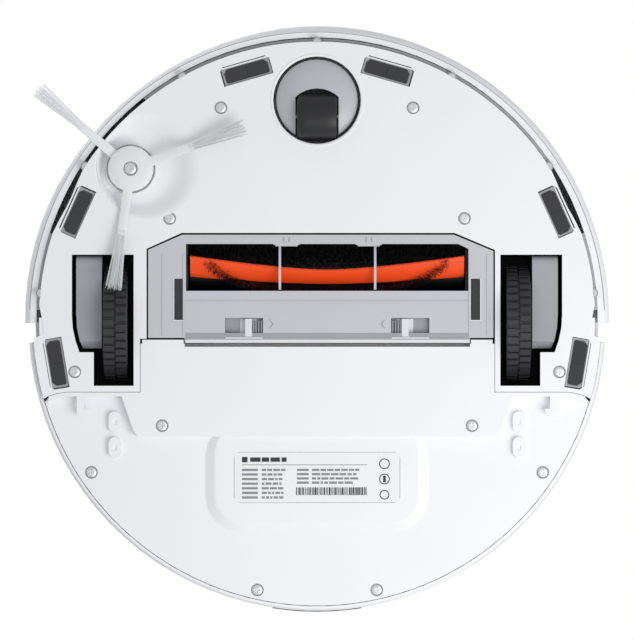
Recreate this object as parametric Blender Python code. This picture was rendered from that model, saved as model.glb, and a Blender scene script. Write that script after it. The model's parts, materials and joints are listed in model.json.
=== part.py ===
"""A round robot vacuum, built as an assembly of separate named parts.

It stands on its wheels at z = 0 and drives towards -Y, with the origin on the floor under its middle.
Sizes are in millimetres, and MM turns them into metres as each mesh is made.
"""
import math

import bmesh
import bpy
from mathutils import Matrix, Vector

MM = 0.001

# Driving dimensions
HEIGHT = 81.5
BUMPER_R = 175.3          # outside of the bumper, about a point 1 mm ahead of the origin
BUMPER_Y = -1.0
SHELL_R = 173.2           # outside of the rear shell
SHELL_Y = 1.6
BASE_R = 166.4            # front edge of the base plate
BASE_Z = 10.0             # underside of the base plate
PLATE = 3.0               # thickness of the base mouldings
PAN_Z = 16.0              # underside of the recessed rear pan
SEAM_Y = 43.2             # seam between the front base and the rear base
WHEEL_X = 120.7
WHEEL_Y = 1.9
WHEEL_R = 35.3
TYRE_W = 14.6
PIVOT_Y = -33.5           # suspension pivot
PIVOT_Z = 17.5
CASTER_Y = -131.4
CASTER_R = 24.4
CASTER_WHEEL_R = 14.0
CASTER_TRAIL = 9.7        # how far the caster's axle sits behind its swivel
SIDE_HUB = (-111.5, -90.3)
SIDE_REACH = 74.0
BRUSH_Y = -31.2
BRUSH_Z = 28.5
BRUSH_R = 20.5
TUNNEL_R = 24.0
GRIP_Y = 3.573            # centre of the arc of the rear grip, which bulges past the shell
GAP = 0.3                 # clearance between neighbouring parts

SCREWS = [(57.5, -126.8), (88.2, -60.6), (145.0, 31.2), (92.7, 63.4), (135.3, 91.5), (35.8, 162.0)]
SENSORS = [(42.3, -149.0), (143.6, -64.8), (156.2, 26.2)]


def clear_scene():
    for old in list(bpy.data.objects):
        bpy.data.objects.remove(old, do_unlink=True)


def finish(name, colour, roughness, metallic=0.0):
    """A Principled material for one kind of part."""
    made = bpy.data.materials.new(name)
    made.use_nodes = True
    shader = made.node_tree.nodes["Principled BSDF"]
    shader.inputs["Base Color"].default_value = (*colour, 1.0)
    shader.inputs["Roughness"].default_value = roughness
    shader.inputs["Metallic"].default_value = metallic
    return made


# Outlines

def arc(cx, cy, radius, start, stop, count):
    """Points on an arc from start to stop degrees, both ends included."""
    step = math.radians(stop - start) / (count - 1)
    first = math.radians(start)
    return [(cx + radius * math.cos(first + i * step), cy + radius * math.sin(first + i * step))
            for i in range(count)]


def circle(cx, cy, radius, count=24):
    return arc(cx, cy, radius, 0, 360 - 360 / count, count)


def rounded_box(x0, y0, x1, y1, radius, steps=4):
    """A rectangle whose corners are quarter rounds."""
    corners = [(x1 - radius, y1 - radius, 0), (x0 + radius, y1 - radius, 90),
               (x0 + radius, y0 + radius, 180), (x1 - radius, y0 + radius, 270)]
    return [p for cx, cy, a in corners for p in arc(cx, cy, radius, a, a + 90, steps)]


def turned_outline(points, cx, cy, degrees):
    """An outline about (0, 0), turned and moved to (cx, cy)."""
    c, s = math.cos(math.radians(degrees)), math.sin(math.radians(degrees))
    return [(cx + x * c - y * s, cy + x * s + y * c) for x, y in points]


def mirrored(points):
    return [(-x, y) for x, y in reversed(points)]


# Solids

def ring(bm, points):
    return [bm.verts.new(p) for p in points]


def flat_ring(bm, points, z):
    return ring(bm, [(x, y, z) for x, y in points])


def bridge(bm, low, high):
    for i, vert in enumerate(low):
        j = (i + 1) % len(low)
        bm.faces.new((vert, low[j], high[j], high[i]))


def fill(bm, loops):
    """A flat face inside the first loop and outside the others."""
    edges = []
    for loop in loops:
        for a, b in zip(loop, loop[1:] + loop[:1]):
            edges.append(bm.edges.get((a, b)) or bm.edges.new((a, b)))
    bmesh.ops.triangle_fill(bm, use_beauty=True, edges=edges)


def wall(bm, points, path):
    """Rings of an outline scaled about its middle, one for each (scale, z) step of the wall."""
    cx = sum(p[0] for p in points) / len(points)
    cy = sum(p[1] for p in points) / len(points)
    rings = [flat_ring(bm, [(cx + (x - cx) * s, cy + (y - cy) * s) for x, y in points], z)
             for s, z in path]
    for a, b in zip(rings, rings[1:]):
        bridge(bm, a, b)
    return rings


def plate(outline, z0, z1, features=(), rim=None):
    """A plate with features: (points, kind, path), where path lists (scale, z) steps of the wall.

    kind is through for a hole, below for a pocket or boss on the underside, above for one on top.
    """
    bm = bmesh.new()
    rings = wall(bm, outline, rim or [(1, z0), (1, z1)])
    low_loops, high_loops = [rings[0]], [rings[-1]]
    for points, kind, path in features:
        rings = wall(bm, points, path)
        if kind != "above":
            low_loops.append(rings[0])
        if kind == "through":
            high_loops.append(rings[-1])
        else:
            fill(bm, [rings[-1]])
        if kind == "above":
            high_loops.append(rings[0])
    fill(bm, low_loops)
    fill(bm, high_loops)
    bmesh.ops.recalc_face_normals(bm, faces=bm.faces)
    return bm


def hole(points, z0, z1):
    return points, "through", [(1, z0), (1, z1)]


def pocket(points, z0, depth):
    return points, "below", [(1, z0), (1, z0 + depth)]


def boss(points, z1, rise):
    return points, "above", [(1, z1), (1, z1 + rise)]


def skin(rings, closed=False):
    """A solid through a row of rings, with flat ends unless it closes on itself."""
    bm = bmesh.new()
    made = [ring(bm, points) for points in rings]
    for a, b in zip(made, made[1:]):
        bridge(bm, a, b)
    if closed:
        bridge(bm, made[-1], made[0])
    else:
        fill(bm, [made[0]])
        fill(bm, [made[-1]])
    bmesh.ops.recalc_face_normals(bm, faces=bm.faces)
    return bm


def turned(profile, count=32):
    """A profile of (radius, z) points turned about Z; it starts and ends on the axis or closes."""
    bm = bmesh.new()
    solid = profile[0][0] == 0
    inner = profile[1:-1] if solid else profile
    angles = [2 * math.pi * i / count for i in range(count)]
    rings = [ring(bm, [(r * math.cos(a), r * math.sin(a), z) for a in angles]) for r, z in inner]
    for a, b in zip(rings, rings[1:]):
        bridge(bm, a, b)
    if solid:
        for end, (_, z) in ((rings[0], profile[0]), (rings[-1], profile[-1])):
            tip = bm.verts.new((0, 0, z))
            for i, vert in enumerate(end):
                bm.faces.new((vert, end[(i + 1) % count], tip))
    else:
        bridge(bm, rings[-1], rings[0])
    bmesh.ops.recalc_face_normals(bm, faces=bm.faces)
    return bm


def swept(sections, angles, centre_y):
    """A solid whose (radius, z) section at each angle comes from sections(angle)."""
    rings = []
    for degrees in angles:
        c, s = math.cos(math.radians(degrees)), math.sin(math.radians(degrees))
        rings.append([(r * c, centre_y + r * s, z) for r, z in sections(degrees)])
    return skin(rings)


# Placing parts

TO_X = Matrix(((0, 0, 1, 0), (1, 0, 0, 0), (0, 1, 0, 0), (0, 0, 0, 1)))


def along_x(bm, x=0.0, y=0.0, z=0.0):
    """Stand a solid drawn in (y, z) with its height along X."""
    bm.transform(Matrix.Translation((x, y, z)) @ TO_X)
    return bm


def moved(bm, x, y, z):
    bm.transform(Matrix.Translation((x, y, z)))
    return bm


def flipped(bm):
    """The mirror image across the middle plane."""
    bm.transform(Matrix.Scale(-1, 4, (1, 0, 0)))
    bmesh.ops.reverse_faces(bm, faces=bm.faces)
    return bm


def part(name, bm, look, pivot=(0, 0, 0), sharp=32):
    """An object in metres whose origin is at pivot."""
    bm.transform(Matrix.Scale(MM, 4) @ Matrix.Translation(-Vector(pivot)))
    mesh = bpy.data.meshes.new(name)
    bm.to_mesh(mesh)
    bm.free()
    mesh.shade_smooth()
    mesh.set_sharp_from_angle(angle=math.radians(sharp))
    made = bpy.data.objects.new(name, mesh)
    bpy.context.scene.collection.objects.link(made)
    made.location = Vector(pivot) * MM
    if look:
        mesh.materials.append(look)
    return made


def carve(target, bm, operation="DIFFERENCE"):
    """Cut a solid out of a part, or join it on."""
    tool = part(f"{target.name}_tool", bm, None)
    tool.hide_render = True
    tool.display_type = "WIRE"
    step = target.modifiers.new(operation.lower(), "BOOLEAN")
    step.operation = operation
    step.solver = "EXACT"
    step.object = tool


# Chassis

WELL = [(-146.7, -38.9), (-109.7, -38.9), (-109.7, 39.6), (-133.6, 39.6), (-133.6, 19.5),
        (-142.2, 19.5), (-144.6, 12.5), (-146.2, 5.0), (-146.7, -2.4)]
RECESS = [(-102.0, -42.4), (-81.0, -51.9), (82.3, -51.9), (106.5, -41.7)]
SEAM_CURVE = [(150.0, SEAM_Y), (156.0, 44.2), (160.5, 45.6), (163.3, 47.2)]
BLOCK_REAR = 69.9


def rim_radius(degrees):
    """The base plate's edge, which dips where the bumper's side sensors look out."""
    from_front = abs(degrees + 90)
    dip = 2.2 * math.sin(math.pi * (from_front - 58) / 13) if 58 < from_front < 71 else 0.0
    return BASE_R - dip


def front_outline():
    rim = [(rim_radius(a) * math.cos(math.radians(a)), rim_radius(a) * math.sin(math.radians(a)))
           for a in [-177 + 3 * i for i in range(59)]]
    right = [(164.0, 2.0), (163.6, 8.0), *arc(0, SHELL_Y, 169.9, 3.5, 15.5, 5)]
    seam = list(reversed(SEAM_CURVE))
    left = mirrored(seam) + mirrored(right)
    return [*rim, *right, *seam, (106.5, SEAM_Y), *reversed(RECESS), (-102.0, 11.4), (-105.9, 11.4),
            (-105.9, SEAM_Y), *left]


def screw_seat(x, y, z0, z1):
    """A screw hole with a wide recess for the head, open below."""
    return circle(x, y, 3.9, 16), "through", [(1, z0), (1, z0 + 1.3), (0.4, z0 + 1.3), (0.4, z1)]


def sensor_shape(length, width, x, y):
    """A sensor's outline, long way along the rim, with its outer corners cut off."""
    a, b, cut = length / 2, width / 2, 2.2
    points = [(-a, b), (-a, -b + cut), (-a + cut, -b), (a - cut, -b), (a, -b + cut), (a, b)]
    return turned_outline(points, x, y, math.degrees(math.atan2(y, x)) + 90)


def both_sides(points):
    return [(side * x, y) for x, y in points for side in (-1, 1)]


def build_front_base(look):
    top = BASE_Z + PLATE
    features = [hole(WELL, BASE_Z, top), hole(mirrored(WELL), BASE_Z, top)]
    features += [hole(sensor_shape(30.6, 11.6, x, y), BASE_Z, top) for x, y in both_sides(SENSORS)]
    features += [screw_seat(x, y, BASE_Z, top) for x, y in both_sides(SCREWS[:3])]
    socket = [(26.2, BASE_Z), (26.2, 32.2), (4.1, 32.2), (4.1, 42.0), (7.0, 42.0), (7.0, 34.8),
              (28.8, 34.8), (28.8, top)]
    features.append((circle(0, CASTER_Y, 1, 40), "through", socket))
    dish = [(21.6, BASE_Z), (19.0, 11.4), (16.6, 12.4), (16.2, 16.2), (6.0, 16.2), (6.0, 18.9),
            (18.0, 18.9), (20.0, 16.0), (21.4, top)]
    features.append((circle(*SIDE_HUB, 1, 36), "through", dish))
    return part("front_base", plate(front_outline(), BASE_Z, top, features), look)


def block_outline(inset):
    """The deep part of the rear base: a block and a strip along the seam."""
    half = [(106.2 - inset, SEAM_Y + GAP + inset)]
    half += [(x - inset, y + GAP + inset) for x, y in SEAM_CURVE[:3]]
    half += [(161.0 - inset, 49.5 - inset), (156.0, 47.0 - inset), (150.0, 45.9 - inset)]
    half += [(116.9 - inset, 45.9 - inset), (110.0 - inset, 66.0), (107.0 - inset, BLOCK_REAR - inset)]
    return [(106.2 - inset, 14.4 + inset), *half, *mirrored(half),
            (-105.6 + inset, SEAM_Y + GAP + inset), (-105.6 + inset, 14.4 + inset)]


def hollow_outline(inset):
    """The room inside the block, clear of the thin seam strips."""
    x, y = 105.6 - inset, 43.0 + inset
    half = [(x, y), (112.0 - inset, y + 3), (107.5 - inset, 64.0), (104.0 - inset, BLOCK_REAR - inset)]
    return [(x, 14.4 + inset), *half, *mirrored(half), (-x, 14.4 + inset)]


def pan_outline():
    rim = arc(0, SHELL_Y, 169.8, 16.3, 163.7, 50)
    half = [(106.0, SEAM_Y + 0.5), *[(x, y + 0.5) for x, y in SEAM_CURVE[:3]]]
    return [*half, *rim, *mirrored(half), (-105.4, SEAM_Y + 0.5), (-105.4, 14.6), (106.0, 14.6)]


def oval_boss(x, y):
    """A small oval stud under the pan with a dimple in its end."""
    points = rounded_box(x - 3.9, y - 6.55, x + 3.9, y + 6.55, 3.85, 5)
    return points, "below", [(1, PAN_Z), (0.96, 12.9), (0.3, 12.9), (0.2, 13.6)]


def plateau(x, y0, y1, z, corner):
    return [(px, py, z) for px, py in rounded_box(-x, y0, x, y1, corner, 5)]


def hook_outline():
    return [(143.7, 44.8), (143.7, 56.5), (141.5, 57.9), (139.0, 57.9), (136.3, 55.0),
            (136.3, 53.3), (139.4, 53.3), (139.4, 44.8)]


def build_rear_base(look):
    top = PAN_Z + PLATE
    ovals = [(121.0, 61.3), (121.0, 76.6)]
    features = [oval_boss(x, y) for x, y in both_sides(ovals)]
    features += [screw_seat(x, y, PAN_Z, top) for x, y in both_sides(SCREWS[4:])]
    features.append(hole(hollow_outline(3.2), PAN_Z, top))
    base = part("rear_base", plate(pan_outline(), PAN_Z, top, features), look)
    floor = BASE_Z + 2.6
    carve(base, plate(block_outline(0), BASE_Z, top - 0.6), "UNION")
    carve(base, skin([plateau(68.5, 60.0, 129.0, 16.6, 23), plateau(66.5, 61.0, 127.0, 15.6, 21),
                      plateau(62.0, 63.0, 122.6, 13.0, 17), plateau(60.2, 64.0, 120.9, 12.3, 15)]),
          "UNION")
    for side in (-1, 1):
        points = hook_outline() if side > 0 else mirrored(hook_outline())
        carve(base, plate(points, BASE_Z + 0.05, 12.6), "UNION")
    carve(base, plate(hollow_outline(2.7), floor, top + 5))
    carve(base, plate(rounded_box(-56, 76, 56, 115, 3), 15.0, top + 5))
    carve(base, plate(rounded_box(-49.8, 79.1, 49.8, 109.7, 3.8), BASE_Z, 12.9))
    seat = [(0, BASE_Z - 1), (3.9, BASE_Z - 1), (3.9, BASE_Z + 1.3), (1.56, BASE_Z + 1.3),
            (1.56, floor + 1), (0, floor + 1)]
    for x, y in both_sides(SCREWS[3:4]):
        carve(base, moved(turned(seat, 16), x, y, 0))


def shell_section(_angle):
    return [(170.2, 17.0), (171.8, 17.0), (173.2, 20.0), (173.2, 68.0), (172.4, 71.8), (170.0, 73.9),
            (166.5, 73.9), (166.5, 71.8), (169.4, 71.3), (170.8, 67.5), (170.8, 20.2), (170.2, 19.2)]


def build_side_shell(look):
    shell = part("side_shell", swept(shell_section, [4 + 4 * i for i in range(44)], SHELL_Y), look)
    carve(shell, plate(rounded_box(-96.5, 130, 96.5, 200, 2), 36.0, 70.6))


def build_top_cover(look):
    inside = 78.3
    rim = [(166.5, inside), (169.6, 76.4), (169.9, 74.4), (172.2, 74.4), (172.2, 76.4), (171.0, 79.2),
           (167.5, 80.9), (162.0, HEIGHT)]
    features = [hole(circle(0, -88, 14.3, 32), inside, HEIGHT)]
    features += [hole(rounded_box(x - 9.3, -133.3, x + 9.3, -122.7, 5), inside, HEIGHT) for x in (-14, 14)]
    part("top_cover", plate(circle(0, 0, 1, 64), inside, HEIGHT, features, rim), look)


def build_top_controls(glass, look):
    window = moved(turned([(0, 81.4), (12.0, 81.4), (14.0, 81.0), (14.0, 76.0), (0, 76.0)], 32), 0, -88, 0)
    part("camera_window", window, glass)
    for x, name in ((-14, "power_button"), (14, "home_button")):
        cap = skin([[(px, py, z) for px, py in rounded_box(x - w, -128 - d, x + w, -128 + d, r)]
                    for w, d, r, z in ((9.0, 5.0, 4.7, 76.5), (9.0, 5.0, 4.7, 80.9), (8.4, 4.4, 4.2, 81.4))])
        part(name, cap, look, (x, -128, 76.5))


def bumper_section(_angle):
    return [(168.0, 13.4), (171.9, 13.4), (172.6, 14.8), (174.7, 17.4), (175.3, 21.0), (175.3, 66.0),
            (174.6, 69.8), (172.2, 72.6), (168.6, 73.4), (168.6, 71.6), (171.4, 70.2), (172.8, 66.0),
            (172.8, 21.0), (171.0, 15.6), (168.0, 15.2)]


def build_bumper(look):
    part("bumper", swept(bumper_section, [-181 + 4 * i for i in range(45)] + [-1.5, 1.0], BUMPER_Y), look)


# Caster

def build_caster(look, steel, rubber):
    top = 31.4
    dome = [(0, 7.0), (8, 7.3), (16, 8.4), (22, 10.6), (CASTER_R, 13.0), (CASTER_R, top),
            (4.0, top), (4.0, 41.5), (0, 41.5)]
    housing = part("caster_housing", moved(turned(dome, 40), 0, CASTER_Y, 0), look, (0, CASTER_Y, top))
    axle_y = CASTER_Y + CASTER_TRAIL
    front = arc(0, -119.5, 18.8, -133.4, -46.6, 9)
    carve(housing, plate([*front, (12.9, -100), (-12.9, -100)], -1, 29.4))
    carve(housing, along_x(turned([(0, -18.4), (1.6, -18.4), (1.6, 18.4), (0, 18.4)], 16),
                           0, axle_y, CASTER_WHEEL_R))
    part("caster_axle", along_x(turned([(0, -18), (1.5, -18), (1.5, 18), (0, 18)], 16),
                                0, axle_y, CASTER_WHEEL_R), steel, (0, axle_y, CASTER_WHEEL_R))
    crown = [(1.56, -12), (9.6, -12), (10.6, -11.6), (12.9, -7.5), (CASTER_WHEEL_R, 0), (12.9, 7.5),
             (10.6, 11.6), (9.6, 12), (1.56, 12)]
    part("caster_wheel", along_x(turned(crown, 24), 0, axle_y, CASTER_WHEEL_R), rubber,
         (0, axle_y, CASTER_WHEEL_R))


# Drive wheels, built on the left and mirrored to the right

def place(name, bm, look, side, pivot=(0, 0, 0)):
    """Add a part drawn on the left, or its mirror image on the right."""
    if side > 0:
        bm = flipped(bm)
    return part(name, bm, look, (-side * pivot[0], pivot[1], pivot[2]))


def arm_outline():
    """Side view of the gearbox, as (y, z), round about its pivot."""
    return [*arc(PIVOT_Y, PIVOT_Z, 5.0, 180, 270, 6), (13.0, 12.5), (17.2, 17.0), (17.2, 44.0),
            (9.0, 51.5), (-20.0, 51.5), (-30.0, 40.0)]


def tyre_profile():
    half = TYRE_W / 2
    return [(27.3, -half), (33.6, -half), (34.7, -half + 1.0), (WHEEL_R, -2.5), (WHEEL_R, 2.5),
            (34.7, half - 1.0), (33.6, half), (27.3, half)]


def spring_coil(x, y, z0, z1, turns, radius, wire):
    """A closed tube wound along a helix."""
    steps = 10 * turns
    rings = []
    for i in range(steps + 1):
        a = 2 * math.pi * i / 10
        z = z0 + wire + (z1 - z0 - 2 * wire) * i / steps
        c, s = math.cos(a), math.sin(a)
        rings.append([(x + (radius + wire * u) * c, y + (radius + wire * u) * s, z + wire * v)
                      for u, v in ((1, 0), (0, 1), (-1, 0), (0, -1))])
    return skin(rings)


def build_drive_side(side, looks):
    name = "right" if side > 0 else "left"
    half = TYRE_W / 2
    outer = [(-149.0, -41.2), (-107.4, -41.2), (-107.4, 41.9), (-135.9, 41.9), (-135.9, 24.6),
             (-142.6, 24.6), (-143.6, 21.8), (-146.8, 13.0), (-148.5, 5.4), (-149.0, -2.2)]
    room = [*WELL[:2], (-109.7, 41.0), (-134.7, 41.0), (-134.7, 23.2), (-141.2, 23.2), *WELL[5:]]
    well = plate(outer, BASE_Z + PLATE + GAP, 74.0, [pocket(room, BASE_Z + PLATE + GAP, 58.8)])
    place(f"wheel_well_{name}", well, looks["well"], side)

    pivot = (-136.4, PIVOT_Y, PIVOT_Z)
    arm = place(f"drive_arm_{name}", along_x(plate(arm_outline(), -144.2, -128.9)), looks["gear"],
                side, pivot)
    stub = along_x(turned([(0, -132), (5.5, -132), (5.5, -128.3), (4.0, -128.3), (4.0, -113.6),
                           (0, -113.6)], 20), 0, WHEEL_Y, WHEEL_R)
    carve(arm, flipped(stub) if side > 0 else stub, "UNION")
    bulge = plate([(-160, -2.4), (-144.1, -2.4), (-143.7, 5.0), (-142.1, 12.5), (-139.8, 18.5),
                   (-139.8, 30), (-160, 30)], 0, 80)
    carve(arm, flipped(bulge) if side > 0 else bulge)

    centre = (-WHEEL_X, WHEEL_Y, WHEEL_R)
    hub = [(4.08, -half + 0.3), (9.0, -half + 0.3), (10.0, -half + 1.5), (24.0, -half + 1.5),
           (25.0, -half + 0.3), (27.0, -half + 0.3), (27.0, half - 0.3), (25.0, half - 0.3),
           (24.0, half - 1.5), (10.0, half - 1.5), (9.0, half - 0.3), (4.08, half - 0.3)]
    place(f"wheel_hub_{name}", along_x(turned(hub, 24), *centre), looks["hub"], side, centre)
    place(f"tyre_{name}", along_x(turned(tyre_profile(), 40), *centre), looks["tyre"], side, centre)
    coil = spring_coil(-136.4, -14.0, 51.8, 71.8, 5, 4.4, 0.7)
    place(f"arm_spring_{name}", coil, looks["steel"], side, (-136.4, -14.0, 71.8))


# Side brush

def side_brush_outline():
    """Hub with three arms, each flaring into its bristles."""
    points = []
    arms = (-139.3, -19.9, 97.8)
    for k, heading in enumerate(arms):
        arm = [(15.5, -3.0), (27, -2.7), (40, -2.7), (52, -3.3), (64, -4.1), (SIDE_REACH, -4.8)]
        arm += [(d, -w) for d, w in reversed(arm)]
        points += turned_outline(arm, 0, 0, heading)
        following = arms[(k + 1) % 3] + (360 if k == 2 else 0)
        points += arc(0, 0, 13.6, heading + 18, following - 18, 6)
    return points


def droop(bm):
    """Thicken the hub and let the arms fall towards the floor."""
    for vert in bm.verts:
        distance = math.hypot(vert.co.x, vert.co.y)
        if distance > 15:
            vert.co.z = 8.9 - 0.142 * (distance - 15) + 1.6 * vert.co.z
        elif vert.co.z in (0.0, 1.0):
            vert.co.z = 6.6 + 5.4 * vert.co.z
    return bm


def build_side_brush(white, steel, dark):
    x, y = SIDE_HUB
    shaft = (circle(0, 0, 5.0, 16), "above", [(1, 1.0), (1, 19.4)])
    seat = (circle(0, 0, 4.4, 16), "below", [(1, 0.0), (1, 9.4), (0.4, 9.4), (0.4, 17.0)])
    brush = moved(droop(plate(side_brush_outline(), 0.0, 1.0, [shaft, seat])), x, y, 0)
    part("side_brush", brush, white, (x, y, 6.6))
    screw = turned([(0, 7.4), (3.2, 7.6), (3.9, 8.3), (3.9, 9.1), (1.4, 9.1), (1.4, 16.5), (0, 16.5)], 20)
    part("side_brush_screw", moved(screw, x, y, 0), steel, (x, y, 8))
    case = plate(rounded_box(x - 17, y - 15, x + 15, y + 17, 4), 19.8, 44.0)
    part("side_brush_motor", case, dark)


# Main brush

def brush_ring(x, twist):
    """Six soft vanes on a core, as a section across the brush."""
    points = []
    for i in range(24):
        radius = (BRUSH_R, 12.5, 9.5, 12.5)[i % 4]
        a = 2 * math.pi * i / 24 + math.radians(twist)
        points.append((x, BRUSH_Y + radius * math.cos(a), BRUSH_Z + radius * math.sin(a)))
    return points


def build_main_brush(look, dark):
    middle, half, steps = 6.1, 82.0, 12
    rings = []
    for i in range(-steps, steps + 1):
        share = i / steps
        rings.append(brush_ring(middle + half * share, 60 * abs(share)))
    brush = part("main_brush", skin(rings), look, (middle, BRUSH_Y, BRUSH_Z))
    for x0, x1, radius in ((-83.5, -74.0, 5.0), (86.0, 97.5, 4.0)):
        carve(brush, along_x(turned([(0, x0), (radius, x0), (radius, x1), (0, x1)], 16),
                             0, BRUSH_Y, BRUSH_Z), "UNION")
    cap = turned([(4.08, 89.2), (7.6, 89.2), (7.6, 98.4), (4.08, 98.4)], 20)
    part("brush_bearing", along_x(cap, 0, BRUSH_Y, BRUSH_Z), dark, (93.8, BRUSH_Y, BRUSH_Z))


def build_brush_chamber(look):
    side_view = [(-57.5, 14.6), (-57.5, 44), (-50, 53.5), (-12, 53.5), (-5.0, 44), (-5.0, 14.6),
                 (-7.2, 14.6), *arc(BRUSH_Y, BRUSH_Z, TUNNEL_R, 0, 180, 17), (-55.2, 14.6)]
    chamber = part("brush_chamber", along_x(plate(side_view, -79.5, 99.5)), look)
    walls = [(-57.0, 15.0), (-57.0, 45), (-49.0, 53.0), (-13.0, 53.0), (-5.5, 45), (-5.5, 15.0)]
    for x0, x1, bore in ((-79.5, -77.2, 5.6), (88.8, 99.0, 7.9)):
        carve(chamber, along_x(plate(walls, x0 + 0.1, x1)), "UNION")
        carve(chamber, along_x(turned([(0, x0 - 5), (bore, x0 - 5), (bore, x1 + 5), (0, x1 + 5)], 24),
                               0, BRUSH_Y, BRUSH_Z))
    carve(chamber, plate([(-26, -12), (34, -12), (34, 0), (-26, 0)], 30.0, 43.0))


def guard_bar(x):
    """A thin bar that bows under the brush from one side of the window to the other."""
    inner, outer = BRUSH_R + 0.7, BRUSH_R + 1.5
    rings = []
    for degrees in range(-133, -46, 8):
        c, s = math.cos(math.radians(degrees)), math.sin(math.radians(degrees))
        rings.append([(x + dx, BRUSH_Y + r * c, BRUSH_Z + r * s)
                      for dx, r in ((-0.7, inner), (0.7, inner), (0.7, outer), (-0.7, outer))])
    return skin(rings)


def build_brush_cover(look, rubber, latch_look):
    bottom, top = 9.7, 12.7
    rim = [(-101.0, -41.8), (-80.7, -50.8), (82.0, -50.8), (105.5, -41.0), (105.5, 10.9),
           (91.5, 10.9), (91.5, 14.0), (-79.2, 14.0), (-79.2, 10.9), (-101.0, 10.9)]
    tabs = [(x + dx, y) for x in (-18.2, 31.0)
            for dx, y in ((-8.2, -45.3), (-7.4, -44.7), (7.4, -44.7), (8.2, -45.3))]
    window = [(-78.4, -45.3), *tabs, (84.5, -45.3), (90.6, -42.4), (90.6, -17.2), (-78.4, -17.2)]
    features = [hole(window, bottom, top)]
    for x0, x1 in ((-55.0, -32.3), (44.4, 67.2)):
        features.append(hole([(x0, -1.0), (x1, -1.0), (x1, 10.5), (x0, 10.5)], bottom, top))
    for x0, x1 in ((-85.4, -79.9), (92.0, 97.6)):
        features.append(pocket([(x0, -24.5), (x1, -24.5), (x1, 0.3), (x0, 0.3)], bottom, 1.5))
    cover = part("brush_cover", plate(rim, bottom, top, features), look, (2.2, -50.0, 11.2))
    for x in (-22.2, 34.8):
        carve(cover, guard_bar(x), "UNION")
    for side, (x0, x1) in (("left", (-85.4, -79.9)), ("right", (92.0, 97.6))):
        pad = plate(rounded_box(x0 + GAP, -24.2, x1 - GAP, 0.0, 0.8, 3), bottom - 0.4, 10.9)
        part(f"cover_pad_{side}", pad, rubber)
    for side, x in (("left", -41.0), ("right", 52.7)):
        grip = [(-2.1, 9.3), (2.1, 9.3), (2.1, 12.9), (5.0, 12.9), (5.0, 15.0), (-5.0, 15.0),
                (-5.0, 12.9), (-2.1, 12.9)]
        slider = skin([[(x + px, y, z) for px, z in grip] for y in (-0.6, 10.1)])
        part(f"latch_{side}", slider, latch_look, (x, 4.75, 12.0))


# Inside

def build_inside(looks):
    dark = looks["dark"]
    part("brush_motor", plate(rounded_box(-101.0, -50.0, -84.3, -13.0, 4), 16.0, 52.0), dark)
    part("battery_pack", plate(rounded_box(-55.5, 76.5, 55.5, 114.5, 3), 15.4, 34.8), looks["battery"])
    part("main_board", plate(rounded_box(-58, -108, 58, -64, 3), 62.0, 63.6), looks["board"])
    duct = skin([[(x, y, z) for x, z in rounded_box(-28, 28.0, 36, 45.0, 2)] for y in (-4.6, 72.0)])
    tube = part("suction_duct", duct, dark)
    carve(tube, skin([[(x, y, z) for x, z in rounded_box(-26, 30.0, 34, 43.0, 1)] for y in (-10, 80)]))

    fan_x, fan_y = 66.0, 46.0
    ring = [(20.5, 26.5), (24.0, 26.5), (24.0, 60.0), (8.0, 60.0), (8.0, 57.5), (21.5, 57.5),
            (21.5, 29.0), (20.5, 29.0)]
    part("fan_housing", moved(turned(ring, 24), fan_x, fan_y, 0), dark, (fan_x, fan_y, 26.5))
    blades = []
    for i in range(36):
        radius = (18.5, 11.0, 15.0)[i % 3]
        a = 2 * math.pi * i / 36
        blades.append((radius * math.cos(a), radius * math.sin(a)))
    wheel = plate(blades, 34.0, 50.0, [boss(circle(0, 0, 5.0, 16), 50.0, 14.0)])
    part("impeller", moved(wheel, fan_x, fan_y, 0), looks["white"], (fan_x, fan_y, 42.0))


def build_bin(look, filter_look, latch_look):
    rear = [(94.5, 146.4), *arc(0, SHELL_Y, 173.0, 56.9, 82.0, 7), *arc(0, GRIP_Y, 172.7, 80.9, 99.1, 7),
            *arc(0, SHELL_Y, 173.0, 98.0, 123.1, 7), (-94.5, 146.4)]
    outline = [(94.5, 74.0), *rear[1:-1], (-94.5, 74.0)]
    tank = part("dust_bin", plate(outline, 36.4, 70.2), look, (0, 74.0, 53.0))
    carve(tank, skin([[(x, y, z) for x, z in rounded_box(-92, 38.8, 92, 67.8, 2)] for y in (60.0, 138.0)]))
    carve(tank, plate([(-20.5, 168), (20.5, 168), (20.5, 190), (-20.5, 190)], 41.0, 51.0))
    frame = skin([[(x, y, z) for x, z in rounded_box(38.5, 39.2, 91.4, 67.4, 1.5)] for y in (76.0, 84.0)])
    part("bin_filter", frame, filter_look)
    paddle = skin([[(x, y, z) for x, z in rounded_box(-20, 41.5, 20, 50.5, 1.5)] for y in (168.6, 174.9)])
    part("bin_latch", paddle, latch_look, (0, 172.0, 46.0))


# Sensors, screws and label

def build_sensors(look):
    names = [f"cliff_sensor_{row}_{side}" for row in ("front", "side", "rear") for side in ("left", "right")]
    for name, (x, y) in zip(names, both_sides(SENSORS)):
        window = plate(sensor_shape(30.0, 11.0, x, y), 11.2, 17.0)
        part(name, window, look, (x, y, 11.2))


def build_screws(look):
    places = [(p, BASE_Z) for p in both_sides(SCREWS[:4])] + [(p, PAN_Z) for p in both_sides(SCREWS[4:])]
    for number, ((x, y), z) in enumerate(places, 1):
        profile = [(0, z - 0.1), (2.2, z), (3.2, z + 0.5), (3.2, z + 1.0), (1.25, z + 1.0),
                   (1.25, z + 7.0), (0, z + 7.0)]
        part(f"base_screw_{number:02d}", moved(turned(profile, 16), x, y, 0), look, (x, y, z))


def build_label(look):
    part("rating_label", plate(rounded_box(-49.5, 79.4, 49.5, 109.4, 3.5), 12.25, 12.6), look)


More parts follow.
